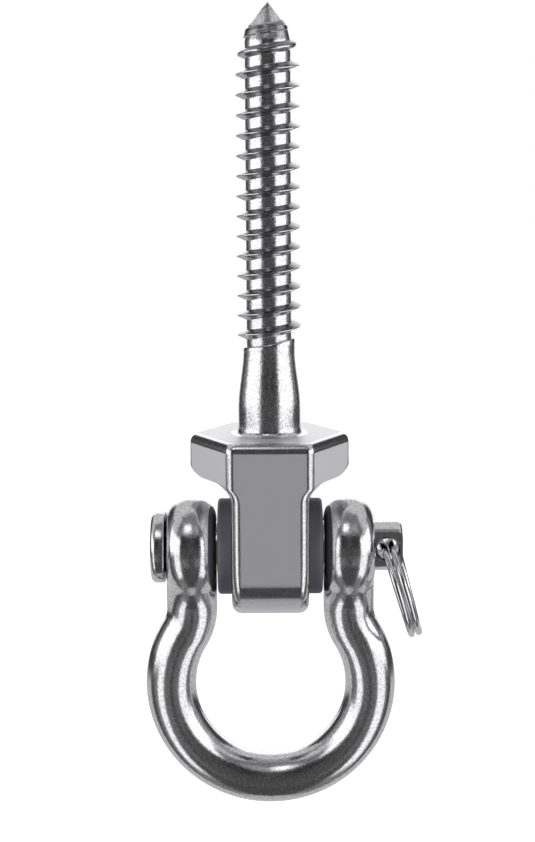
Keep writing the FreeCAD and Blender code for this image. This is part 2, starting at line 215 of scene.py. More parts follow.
def new_piece(name: str, grid: Array, sharp_angle: float = 38.0, wrap: bool = True,
              marks: dict[str, Array] | None = None) -> bpy.types.Object:
    """Make a closed piece from a grid of points.

    Points that lie on each other are merged, so poles and seams are closed,
    and the faces are turned outwards.

    Args:
        name: Name of the piece.
        grid: Points in millimetres, rows by columns by 3.
        sharp_angle: Edges that turn by more degrees than this stay crisp.
        wrap: Whether the last column joins the first; if not, it lies on it.
        marks: Named values of the points, rows by columns, that a finish reads.

    Returns:
        The new object, at the origin.
    """
    mesh = grid_mesh(name, grid * MM, wrap, marks or {})
    shape = bmesh.new()
    shape.from_mesh(mesh)
    bmesh.ops.remove_doubles(shape, verts=shape.verts, dist=1e-6)
    bmesh.ops.recalc_face_normals(shape, faces=shape.faces)
    shape.to_mesh(mesh)
    shape.free()
    piece = placed(name, mesh)
    soften(piece, sharp_angle)
    return piece


def soften(piece: bpy.types.Object, sharp_angle: float) -> None:
    """Shade smooth, with crisp edges past an angle in degrees."""
    piece.data.shade_smooth()
    piece.data.set_sharp_from_angle(angle=math.radians(sharp_angle))


def flatten_flats(piece: bpy.types.Object) -> None:
    """Weight the normals by face area, so wide flats reflect as flats."""
    modifier = piece.modifiers.new("flat_faces", "WEIGHTED_NORMAL")
    modifier.keep_sharp = True


def bored(piece: bpy.types.Object, drill: Array, axis: Axis, place: Array,
          sharp_angle: float = 38.0) -> None:
    """Cut a turned shape out of a piece for good.

    Args:
        piece: Piece to cut.
        drill: Profile of the shape, rows of (along, radius).
        axis: Axis that the profile is turned about.
        place: Way from the origin to the profile's own.
        sharp_angle: Degrees past which an edge stays crisp.
    """
    tool = new_piece("drill", turned(drill, axis) + place)
    cut = piece.modifiers.new("bore", "BOOLEAN")
    cut.operation, cut.solver, cut.object = "DIFFERENCE", "EXACT", tool
    shape = piece.evaluated_get(bpy.context.evaluated_depsgraph_get())
    mesh = bpy.data.meshes.new_from_object(shape)
    piece.modifiers.remove(cut)
    piece.data = mesh
    bpy.data.objects.remove(tool)
    soften(piece, sharp_angle)


def straight_drill(radius: float, reach: float) -> Array:
    """Profile of a plain drill that reaches as far to both sides."""
    return np.array([(-reach, 0.0), (-reach, radius), (reach, radius), (reach, 0.0)])


def linear(colour: str, share: float = 1.0) -> tuple[float, float, float, float]:
    """Turn an sRGB hex colour to the linear values that a node takes.

    Args:
        colour: Colour as #rrggbb.
        share: How bright to make it, as a share of itself.

    Returns:
        Red, green, blue and full opacity.
    """
    parts = [int(colour[place:place + 2], 16) / 255.0 for place in (1, 3, 5)]
    red, green, blue = (share * (part / 12.92 if part <= 0.04045 else ((part + 0.055) / 1.055) ** 2.4)
                        for part in parts)
    return red, green, blue, 1.0


def add_node(tree: bpy.types.NodeTree, kind: str,
             links: dict[str | int, bpy.types.NodeSocket] | None = None,
             inputs: dict[str, Any] | None = None, **settings: Any) -> bpy.types.Node:
    """Add a node with its settings, values and links.

    Args:
        tree: Node tree to add to.
        kind: Blender's name of the node.
        links: Input name or number to the output socket that feeds it.
        inputs: Input name to its fixed value.
        settings: Properties of the node itself.

    Returns:
        The new node.
    """
    node = tree.nodes.new(kind)
    for name, value in settings.items():
        setattr(node, name, value)
    for name, value in (inputs or {}).items():
        node.inputs[name].default_value = value
    for name, socket in (links or {}).items():
        tree.links.new(socket, node.inputs[name])
    return node


def fresh_material(name: str) -> tuple[bpy.types.Material, bpy.types.NodeTree]:
    """Make a material with an empty node tree.

    Args:
        name: Name of the material.

    Returns:
        The material and its tree.
    """
    material = bpy.data.materials.new(name)
    material.use_nodes = True
    material.node_tree.nodes.clear()
    return material, material.node_tree


@dataclass(frozen=True)
class PolishedStainless:
    """Stainless steel, forged or cast, ground and then buffed bright.

    The eye sees near-mirror bands with soft edges, faint buffing lines along
    one direction, a little orange peel that makes the bands swim, and tiny
    pits. Lines and pits are really under 0.1 mm wide, and are drawn three
    times as coarse or more, so that they show in the render.

    Attributes:
        name: Name of the finish.
        colour: Steel's own colour.
        roughness: Least and most roughness, where the wheel cut more or less.
        line_spacing: Spacing of the buffing lines.
        line_stretch: How much longer than wide a buffing line is, along x, y and z.
        line_depth: Depth of the buffing lines.
        peel_width: Width of the orange peel's swells.
        peel_height: Height of the swells.
        peel_shade: Brightness of the highest swell, as a share of the steel's.
        pit_width: Width of the tiny pits that buffing leaves.
        pit_shade: Share by which a pit darkens the steel and a crown lightens it.
        painted_shade_colour: Colour of the painted shade: a darker steel, laid by a mark on the points,
            that stands in for shade and dark reflections.
        ground_roughness: Roughness of flats that are ground, where the mark
            "buffed" is 0; nothing if all is buffed.
        ground_colour: Colour of those flats, paler for the light they scatter.
        painted_sheen_colour: Colour of the painted sheen: a near-white steel, laid by a mark on the
            points, that makes those flats look lighter.
    """

    name: str
    colour: str = "#d2d2d4"
    roughness: Span = (0.10, 0.20)
    line_spacing: float = 0.5
    line_stretch: tuple[float, float, float] = (1.0, 1.0, 8.0)
    line_depth: float = 0.0006
    peel_width: float = 3.0
    peel_height: float = 0.004
    peel_shade: float = 0.93
    pit_width: float = 0.3
    pit_shade: float = 0.15
    painted_shade_colour: str | None = None
    ground_roughness: float | None = None
    ground_colour: str = "#e2e2e5"
    painted_sheen_colour: str = "#f9f9fb"

    def material(self) -> bpy.types.Material:
        """Build the node tree.

        Returns:
            The finished material.
        """
        material, tree = fresh_material(self.name)
        place = add_node(tree, "ShaderNodeTexCoord").outputs["Object"]
        along = add_node(tree, "ShaderNodeMapping", links={"Vector": place}, inputs={
            "Scale": tuple(1.0 / stretch for stretch in self.line_stretch)}).outputs["Vector"]
        lines, peel, pits = (add_node(tree, "ShaderNodeTexNoise", links={"Vector": at}, inputs={
            "Scale": 1.0 / (width * MM), "Detail": detail, "Roughness": blur}).outputs["Fac"]
            for at, width, detail, blur in (
                (along, self.line_spacing, 3.0, 0.6), (place, self.peel_width, 1.0, 0.5),
                (place, self.pit_width, 2.0, 0.5)))
        rough = add_node(tree, "ShaderNodeMapRange", links={"Value": lines}, inputs=NOISE_RANGE | {
            "To Min": self.roughness[0], "To Max": self.roughness[1]}).outputs["Result"]
        swell = add_node(tree, "ShaderNodeBump", links={"Height": peel}, inputs={
            "Strength": 1.0, "Distance": self.peel_height * MM}).outputs["Normal"]
        scratch = add_node(tree, "ShaderNodeBump", links={"Height": lines, "Normal": swell}, inputs={
            "Strength": 1.0, "Distance": self.line_depth * MM}).outputs["Normal"]
        tone = add_node(tree, "ShaderNodeMix", data_type="RGBA", links={"Factor": peel}, inputs={
            "A": linear(self.colour), "B": linear(self.colour, self.peel_shade)}).outputs["Result"]
        shade = add_node(tree, "ShaderNodeMapRange", links={"Value": pits}, inputs=FINE_NOISE_RANGE | {
            "To Min": 1.0 - self.pit_shade, "To Max": 1.0 + self.pit_shade}).outputs["Result"]
        colour = add_node(tree, "ShaderNodeVectorMath", operation="SCALE", links={
            "Vector": tone, "Scale": shade}).outputs["Vector"]
        # Painted shade: where its mark is 1, a darker colour stands in for shade and dark reflections.
        if self.painted_shade_colour:
            painted_shade = add_node(tree, "ShaderNodeAttribute", attribute_name="painted_shade").outputs["Fac"]
            colour = add_node(tree, "ShaderNodeMix", data_type="RGBA", links={"Factor": painted_shade, "A": colour},
                              inputs={"B": linear(self.painted_shade_colour)}).outputs["Result"]
        if self.ground_roughness:
            buffed = add_node(tree, "ShaderNodeAttribute", attribute_name="buffed").outputs["Fac"]
            # Painted sheen: where its mark is 1, the flats take a near-white colour that makes them
            # lighter.
            painted_sheen = add_node(tree, "ShaderNodeAttribute", attribute_name="painted_sheen").outputs["Fac"]
            rough = add_node(tree, "ShaderNodeMix", links={"Factor": buffed, "B": rough}, inputs={
                "A": self.ground_roughness}).outputs["Result"]
            ground = add_node(tree, "ShaderNodeMix", data_type="RGBA", links={"Factor": painted_sheen}, inputs={
                "A": linear(self.ground_colour), "B": linear(self.painted_sheen_colour)}).outputs["Result"]
            colour = add_node(tree, "ShaderNodeMix", data_type="RGBA", links={
                "Factor": buffed, "A": ground, "B": colour}).outputs["Result"]
        shader = add_node(tree, "ShaderNodeBsdfPrincipled", inputs={"Metallic": 1.0}, links={
            "Base Color": colour, "Roughness": rough, "Normal": scratch})
        add_node(tree, "ShaderNodeOutputMaterial", links={"Surface": shader.outputs["BSDF"]})
        return material


@dataclass(frozen=True)
class MouldedNylon:
    """Black nylon, injection moulded in a spark-eroded tool.

    The eye sees a dark grey with a broad, matt sheen and a small, even grain.

    Attributes:
        name: Name of the finish.
        colour: Colour of the plastic.
        grain_width: Width of the moulded grain, drawn coarser than the real
            0.05 so that it shows in the render.
        grain_depth: Depth of the grain.
        patch_width: Width of the patches where the plastic is paler.
        patch_gain: How bright the palest patch is, as a share of the colour.
        roughness: Least and most roughness.
        ior: Nylon's index of refraction.
        specular: Strength of the sheen; the spark-eroded surface holds it low.
    """

    name: str
    colour: str = "#2b2a2e"
    grain_width: float = 0.25
    grain_depth: float = 0.01
    patch_width: float = 4.0
    patch_gain: float = 1.25
    roughness: Span = (0.42, 0.58)
    ior: float = 1.53
    specular: float = 0.2

    def material(self) -> bpy.types.Material:
        """Build the node tree.

        Returns:
            The finished material.
        """
        material, tree = fresh_material(self.name)
        place = add_node(tree, "ShaderNodeTexCoord").outputs["Object"]
        grain, patch = (add_node(tree, "ShaderNodeTexNoise", links={"Vector": place}, inputs={
            "Scale": 1.0 / (width * MM), "Detail": detail}).outputs["Fac"]
            for width, detail in ((self.grain_width, 2.0), (self.patch_width, 1.0)))
        rough = add_node(tree, "ShaderNodeMapRange", links={"Value": grain}, inputs=NOISE_RANGE | {
            "To Min": self.roughness[0], "To Max": self.roughness[1]}).outputs["Result"]
        tone = add_node(tree, "ShaderNodeMix", data_type="RGBA", links={"Factor": patch}, inputs={
            "A": linear(self.colour), "B": linear(self.colour, self.patch_gain)}).outputs["Result"]
        bump = add_node(tree, "ShaderNodeBump", links={"Height": grain}, inputs={
            "Strength": 1.0, "Distance": self.grain_depth * MM}).outputs["Normal"]
        shader = add_node(tree, "ShaderNodeBsdfPrincipled", inputs={
            "IOR": self.ior, "Specular IOR Level": self.specular}, links={
            "Base Color": tone, "Roughness": rough, "Normal": bump})
        add_node(tree, "ShaderNodeOutputMaterial", links={"Surface": shader.outputs["BSDF"]})
        return material


def dress(piece: bpy.types.Object, finish: PolishedStainless | MouldedNylon, body: Body,
          node: Node) -> None:
    """Give a piece its finish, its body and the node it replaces.

    Args:
        piece: Piece to dress.
        finish: Finish to give it.
        body: Body that carries it.
        node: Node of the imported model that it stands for.
    """
    material = bpy.data.materials.get(finish.name) or finish.material()
    piece.data.materials.clear()
    piece.data.materials.append(material)
    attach(piece, body.value)
    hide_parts(node.value)


@dataclass
class WoodScrew:
    """Threaded core and flared shank above the hexagon.

    Attributes:
        reach: Height of the point above the seat.
        pitch: Rise of the thread in a turn.
        crest_height: Height of a crest on the +X side, which sets the thread's turn.
        first_turn: First turn of the ridge, counted from that crest.
        last_turn: First turn that is past the point.
        across: Places across a ridge, over one pitch, that each make a row.
        thread_foot: Height of the threaded core's end inside the shank.
        core: Radius between the ridges.
        core_taper: Height and radius along the core's taper and point.
        crest: Radius over the thread, and of the shank's foot.
        crest_taper: Height and radius of the crest on its way to the point.
        crest_start: Heights between which the crest grows out of the shank.
        root: Radius that it grows from, under the core's surface.
        ridge_foot: Half a ridge's width at the core.
        ridge_top: Half a ridge's width at its crest.
        root_blend: Softness of the corner between core and ridge.
        painted_shade_across: Place across a ridge, and how much painted shade it gets: a darker colour on
            the flanks that stands in for shade, darkest on the flank above the crest, while crest and
            roots stay bright.
        shank_top: Height of the shank's shoulder on the screw's axis.
        shoulder: Radius of that shoulder.
        shank_slant: Slant of the shoulder in degrees.
        waist: How much slimmer the shank is at its top than at its foot.
        flare: Heights between which it slims.
        cove: Radius of the cove between shank and hexagon.
    """

    reach: float = 66.0
    pitch: float = 3.05
    crest_height: float = 17.0
    first_turn: int = -4
    last_turn: int = 18
    across: tuple[float, ...] = (-1.525, -1.15, -0.85, -0.72, -0.64, -0.56, -0.33, -0.10, -0.05,
                                 0.0, 0.05, 0.10, 0.33, 0.56, 0.64, 0.72, 0.85, 1.15)
    thread_foot: float = 12.0
    core: float = 3.6
    core_taper: tuple[Span, ...] = ((60.2, 3.6), (62.45, 3.05), (66.0, 0.0))
    crest: float = 5.0
    crest_taper: tuple[Span, ...] = ((56.7, 5.0), (58.2, 4.7), (59.7, 4.45), (60.4, 4.0), (61.1, 3.68),
                                     (62.4, 3.28), (63.1, 2.4), (66.0, 0.0))
    crest_start: Span = (13.7, 15.3)
    root: float = 3.2
    ridge_foot: float = 0.675
    ridge_top: float = 0.07
    root_blend: float = 0.03
    painted_shade_across: tuple[Span, ...] = ((-0.72, 0.0), (-0.64, 0.4), (-0.10, 0.4), (0.0, 0.0), (0.05, 0.3),
                                  (0.10, 1.0), (0.64, 1.0), (0.85, 0.0))
    shank_top: float = 14.4
    shoulder: float = 4.1
    shank_slant: float = 10.0
    waist: float = 0.87
    flare: Span = (4.0, 13.0)
    cove: float = 1.0
    # Painted shade: a darker colour goes on the thread's flanks, most on the flank above each crest, so
    # the crests stand out as bright lines.
    finish: PolishedStainless = PolishedStainless(
        "stainless_screw", roughness=(0.14, 0.24), painted_shade_colour="#88888b", line_spacing=0.36,
        line_stretch=(1.0, 1.0, 1.0), line_depth=0.02, pit_shade=0.25)

    def crest_radius(self, height: Array) -> Array:
        """Radius that the crest reaches, low where the thread starts and ends."""
        start = self.root + (self.crest - self.root) * smooth_step(*self.crest_start, height)
        return np.minimum(np.minimum(looked_up(height, self.crest_taper), start), self.crest)

    def thread(self, columns: int = 96) -> bpy.types.Object:
        """Make the threaded core as one surface whose rows climb with the thread.

        A row holds its place across the ridge while its angle goes round, so
        its height is pitch times (turn + angle / 2 pi) plus the place across.
        The radius is the core's plus a V ridge, cut off at the crest's reach,
        and heights past the two ends are held there, where rows merge. The V
        is (flank + sqrt(flank^2 + blend^2)) / 2, which softens its foot.

        Args:
            columns: Steps in a turn.

        Returns:
            The threaded core.
        """
        across = np.array(self.across)
        turns = self.last_turn - self.first_turn
        angle = np.linspace(0.0, FULL_TURN, columns + 1)
        turn = np.repeat(np.arange(self.first_turn, self.last_turn), len(across))[:, None]
        crest_at = self.crest_height + self.pitch * (turn + angle / FULL_TURN)
        offset = np.tile(across, turns)[:, None]
        height = crest_at + offset
        held = np.clip(height, self.thread_foot, self.reach)
        crest_held = np.clip(crest_at, self.thread_foot, self.reach)
        core = looked_up(held, self.core_taper)
        slope = (self.crest - self.core) / (self.ridge_foot - self.ridge_top)
        flank = (self.ridge_foot - np.abs(offset)) * slope
        rise = 0.5 * (flank + np.sqrt(flank * flank + self.root_blend ** 2))
        top = np.maximum(self.crest_radius(crest_held) - looked_up(crest_held, self.core_taper), 0.0)
        radius = np.where(held < height, core, core + np.minimum(rise, top))
        radius = np.where(held >= self.reach, 0.0, np.where(held <= self.thread_foot, self.core, radius))
        grid = np.stack([radius * np.cos(angle), radius * np.sin(angle), held], axis=-1)
        foot, tip = np.zeros((2, 1, columns + 1, 3))
        foot[..., 2], tip[..., 2] = self.thread_foot, self.reach
        # Painted shade on the flanks: the share of the darker colour that each row gets.
        painted_shade = np.tile(looked_up(across, self.painted_shade_across), turns)
        painted_shade = np.concatenate([[0.0], painted_shade, [0.0]])[:, None] * np.ones(columns + 1)
        return new_piece("screw_thread", np.concatenate([foot, grid, tip]), 50.0, wrap=False,
                         marks={"painted_shade": painted_shade})

    def shank(self, columns: int = 96) -> bpy.types.Object:
        """Make the flared shank, whose shoulder slants like the thread's next turn.

        Rows climb to a top that is higher on the +X side: height is a share of
        shank_top + shoulder * tan(slant) * cos(angle). The radius eases from
        the full M10 at the foot to the waist with a cubic step, a quarter
        round cove joins the foot to the hexagon, and a bevel breaks the
        shoulder's edge.

        Args:
            columns: Points round the shank.

        Returns:
            The shank.
        """
        near_foot, between = [0.0, 0.003, 0.009, 0.02, 0.035, 0.053], np.linspace(0.075, 0.96, 38)
        near_top, bevel = [0.985, 0.996, 1.0], [0.05, 0.14, 0.3]
        share = np.concatenate([near_foot, between, near_top])[:, None]
        drawn_in = np.zeros_like(share)
        drawn_in[-len(bevel):, 0] = bevel
        angle = round_angles(columns)
        slant = math.tan(math.radians(self.shank_slant))
        height = share * (self.shank_top + self.shoulder * slant * np.cos(angle))
        foot = np.clip(1.0 - height / self.cove, 0.0, 1.0)
        cove = self.cove * (1.0 - np.sqrt(1.0 - foot * foot))
        radius = self.crest - self.waist * smooth_step(*self.flare, height) - drawn_in + cove
        rim = np.stack([radius * np.cos(angle), radius * np.sin(angle), height], axis=-1)
        buried = rim[:1] - [0.0, 0.0, 1.0]
        end, head = np.zeros((2, 1, columns, 3))
        end[..., 2], head[..., 2] = -1.0, self.shank_top
        return new_piece("screw_shank", np.concatenate([end, buried, rim, head]), 50.0)

    def build(self) -> list[bpy.types.Object]:
        """Make and dress the screw's pieces.

        Returns:
            The threaded core and the shank.
        """
        pieces = [self.thread(), self.shank()]
        for piece in pieces:
            dress(piece, self.finish, Body.HANGER, Node.HANGER)
        return pieces


def all_round(quarter: list[float]) -> Array:
    """Mirror values along the casting's first quarter to its other three."""
    half = np.concatenate([quarter, quarter[-2::-1]])
    return np.concatenate([half, half[-2:0:-1]])


@dataclass
class HeadCasting:
    """Hexagon and tongue under the screw.

    Attributes:
        half_flats: Half the width across flats, of hexagon and tongue.
        flat_turn: Turn of the slanted flats from the x axis, in degrees.
        depth: Height of the hexagon's sides.
        tongue: Half the tongue's thickness.
        edge: Rounding of the upright edges and of the tongue's rim.
        top_edge: How far the hexagon's top edge is rounded inwards.
        top_drop: How far down that rounding reaches.
        top_margin: Height of the narrow row that ends it crisply.
        wing_corner: Rounding of the wings' lower outer corners.
        neck: Radius between the wings' undersides and the tongue.
        bore: Radius of the bore that the bushes are pressed into.
        bore_reach: How far the drill reaches from the middle.
        end_depth: Depth of the tongue's end under the pin, as a share of its half width.
        end_corner: Radius of the end's corners, as the same share.
        buffed_bend: Where the buffed band on the end's bend starts and stops.
        curve_rows: Rows on the top edge, on each corner of the side and on the end.
    """

    half_flats: float = 11.0
    flat_turn: float = 30.0
    depth: float = 6.5
    tongue: float = 6.0
    edge: float = 1.5
    top_edge: float = 1.1
    top_drop: float = 1.4
    top_margin: float = 0.1
    wing_corner: float = 2.4
    neck: float = 2.8
    bore: float = 5.57
    bore_reach: float = 9.0
    end_depth: float = 0.92
    end_corner: float = 0.80
    buffed_bend: tuple[Span, Span] = ((0.03, 0.05), (0.16, 0.14))
    curve_rows: tuple[int, int, int] = (13, 14, 33)
    # Painted shade: a dark colour on the tongue's rounded edges below the wings and round its end,
    # standing in for dark reflections. The slanted flats take the near-white painted sheen.
    finish: PolishedStainless = PolishedStainless(
        "stainless_head", line_stretch=(8.0, 1.0, 1.0), ground_roughness=0.52, painted_shade_colour="#4a4a4d")

    def side_profile(self) -> tuple[Array, Array, Array]:
        """Trace the casting's T-shaped side from its top face down to the pin's axis.

        The top edge is a quarter of an ellipse, top_edge wide and top_drop
        high; from the wings' foot a rounded profile runs in to the tongue.

        Returns:
            Height, reach along x and inset of the outline, one for each row.
        """
        curve = np.linspace(0.0, RIGHT_ANGLE, self.curve_rows[0])
        corner = self.half_flats / math.cos(math.radians(self.flat_turn))
        wing_foot = self.wing_corner - self.depth
        under = rounded([(corner, wing_foot), (corner, -self.depth), (self.tongue, -self.depth),
                         (self.tongue, -PIN_DROP)], (self.wing_corner, self.neck), self.curve_rows[1])[1:]
        height = np.concatenate([-self.top_drop * (1.0 - np.cos(curve)),
                                 [-self.top_drop - self.top_margin, wing_foot], under[:, 1]])
        reach, inset = np.full_like(height, corner), np.zeros_like(height)
        reach[-len(under):] = under[:, 0]
        inset[:len(curve)] = self.top_edge * (1.0 - np.sin(curve))
        return height, reach, inset

    def outline(self, reach: Array, inset: Array) -> Array:
        """Cut the hexagon off at a reach along x, with round corners.

        The walls are x = reach, the slanted flat and y = half flats, each
        drawn in by the corner radius; arcs about the two corners between them
        then give the first quarter, and mirrors give the rest.

        Args:
            reach: Reach along x, one for each row.
            inset: How far the whole outline is drawn in, one for each row.

        Returns:
            Rows by points by 2.
        """
        turn = math.radians(self.flat_turn)
        cosine, sine = math.cos(turn), math.sin(turn)
        flat = self.half_flats - inset - self.edge
        wall = np.minimum(reach - inset - self.edge, flat / cosine)
        slanted = np.minimum(flat, wall * cosine + flat * sine)
        low_y = np.maximum((slanted - wall * cosine) / sine, 0.0)
        high_x = (slanted - flat * sine) / cosine
        arcs = []
        for x, y, angle in ((wall, low_y, np.linspace(0.0, turn, 5)),
                            (high_x, flat, np.linspace(turn, RIGHT_ANGLE, 8))):
            arcs.append(np.stack([x[:, None] + self.edge * np.cos(angle),
                                  y[:, None] + self.edge * np.sin(angle)], axis=-1))
        side = np.stack([wall + self.edge, np.zeros_like(wall)], axis=-1)[:, None]
        front = np.stack([np.zeros_like(flat), flat + self.edge], axis=-1)[:, None]
        quarter = np.concatenate([side, *arcs, front], axis=1)
        half = np.concatenate([quarter, quarter[:, -2::-1] * [-1.0, 1.0]], axis=1)
        return np.concatenate([half, half[:, -2:0:-1] * [1.0, -1.0]], axis=1)

    def marks(self, height: Array, bent: Array) -> dict[str, Array]:
        """Mark what the wheel has buffed, and where shade and sheen are painted.

        Upright edges, the hexagon's rim and the start of the end's bend are
        buffed. Painted shade: the tongue's rounded upright edges below the wings
        and round its end take a dark colour that stands in for dark reflections.
        Painted sheen: the hexagon's slanted flats take a near-white colour that
        makes them lighter. The columns are the outline's first quarter, mirrored.

        Args:
            height: Heights of the upright rows.
            bent: How far each row of the end has bent inwards, from 0 to 1.

        Returns:
            The marks by name, with a first row for the top face's middle.
        """
        edge = all_round([0, 0, 1, 1, 1, 0, 0] + [1] * 6 + [0, 0])
        # Painted shade: columns on the tongue's rounded upright edges, which take a dark colour that
        # stands in for dark reflections.
        shaded_edge = all_round([0, 0, 1, 1, 1, 0.5, 0.5] + [0] * 8)
        # Painted sheen: columns at the slanted flats, which take a near-white colour that makes them
        # lighter.
        wing = all_round([0] * 5 + [1, 1] + [0] * 8)
        height, bent = height[:, None], bent[:, None]
        slack = self.top_margin / 10.0
        top = height >= 0.0
        rim = height > -self.top_drop - slack
        behind = height < self.wing_corner - self.depth - slack
        winged = ~top & (height > -self.depth - slack)
        start, stop = self.buffed_bend
        band = smooth_step(*start, bent) * smooth_step(*stop, bent)
        rows = {"buffed": (np.where(top, 0.0, np.where(rim, 1.0, edge)), np.maximum(edge, band)),
                "painted_shade": (behind * shaded_edge, np.ones_like(bent) * shaded_edge),
                "painted_sheen": (winged * wing, np.zeros_like(bent) * wing)}
        return {name: np.concatenate([np.zeros((1, len(edge))), *parts]) for name, parts in rows.items()}

    def build(self) -> list[bpy.types.Object]:
        """Make the casting from its top face down to the tongue's round end.

        The outline follows the side profile down to the pin's axis. Below it
        the same outline folds round the tongue's end: a point at y goes to
        y * inwards and sinks by |y| * down, where (inwards, down) follows a
        quarter of a square with one round corner, until both halves meet.

        Returns:
            The casting.
        """
        height, reach, inset = self.side_profile()
        outline = self.outline(reach, inset)
        upright = np.dstack([outline, np.broadcast_to(height[:, None], outline.shape[:2])])
        fold = rounded([(1.0, 0.0), (1.0, self.end_depth), (0.0, self.end_depth)],
                       (self.end_corner,), self.curve_rows[2])[1:]
        inwards, down = fold[:, :1], fold[:, 1:]
        x, y = outline[-1].T
        end = np.stack([np.broadcast_to(x, (len(fold), len(x))), y * inwards,
                        -PIN_DROP - np.abs(y) * down], axis=-1)
        top = np.zeros((1,) + upright.shape[1:])
        piece = new_piece("head_casting", np.concatenate([top, upright, end]), 30.0,
                          marks=self.marks(height, 1.0 - fold[:, 0]))
        bored(piece, straight_drill(self.bore, self.bore_reach), Axis.X, TO_PIN, 30.0)
        flatten_flats(piece)
        dress(piece, self.finish, Body.HANGER, Node.HANGER)
        return [piece]


@dataclass
class Bush:
    """Flanged bush pressed into one side of the tongue.

    Attributes:
        node: Node that it stands for.
        side: 1 for the side towards +X, -1 for the other.
        bore: Radius that the pin runs in.
        sleeve: Radius of the sleeve in the tongue.
        flange: Radius of the flange.
        inner_end: Place of the sleeve's inner end.
        profile_start: Place on the bore where the closed profile starts.
        seat: Place of the flange's face on the tongue.
        outer_end: Place of the flange's outer face.
        edges: Roundings of the profile's corners.
    """

    node: Node
    side: float
    bore: float = 4.05
    sleeve: float = 5.55
    flange: float = 7.6
    inner_end: float = 0.6
    profile_start: float = 4.0
    seat: float = 6.0
    outer_end: float = 8.25
    edges: tuple[float, ...] = (0.25, 0.55, 0.15, 0.05, 0.1, 0.1)
    finish: MouldedNylon = MouldedNylon("moulded_nylon")

    def build(self) -> list[bpy.types.Object]:
        """Turn the bush's closed profile about the pin's axis.

        Returns:
            The bush.
        """
        corners = [(self.profile_start, self.bore), (self.outer_end, self.bore),
                   (self.outer_end, self.flange), (self.seat, self.flange),
                   (self.seat, self.sleeve), (self.inner_end, self.sleeve),
                   (self.inner_end, self.bore), (self.profile_start, self.bore)]
        grid = turned(rounded(corners, self.edges), Axis.X) * [self.side, 1.0, 1.0] + TO_PIN
        piece = new_piece(self.node.value + "_moulding", grid)
        flatten_flats(piece)
        dress(piece, self.finish, Body.HANGER, self.node)
        return [piece]


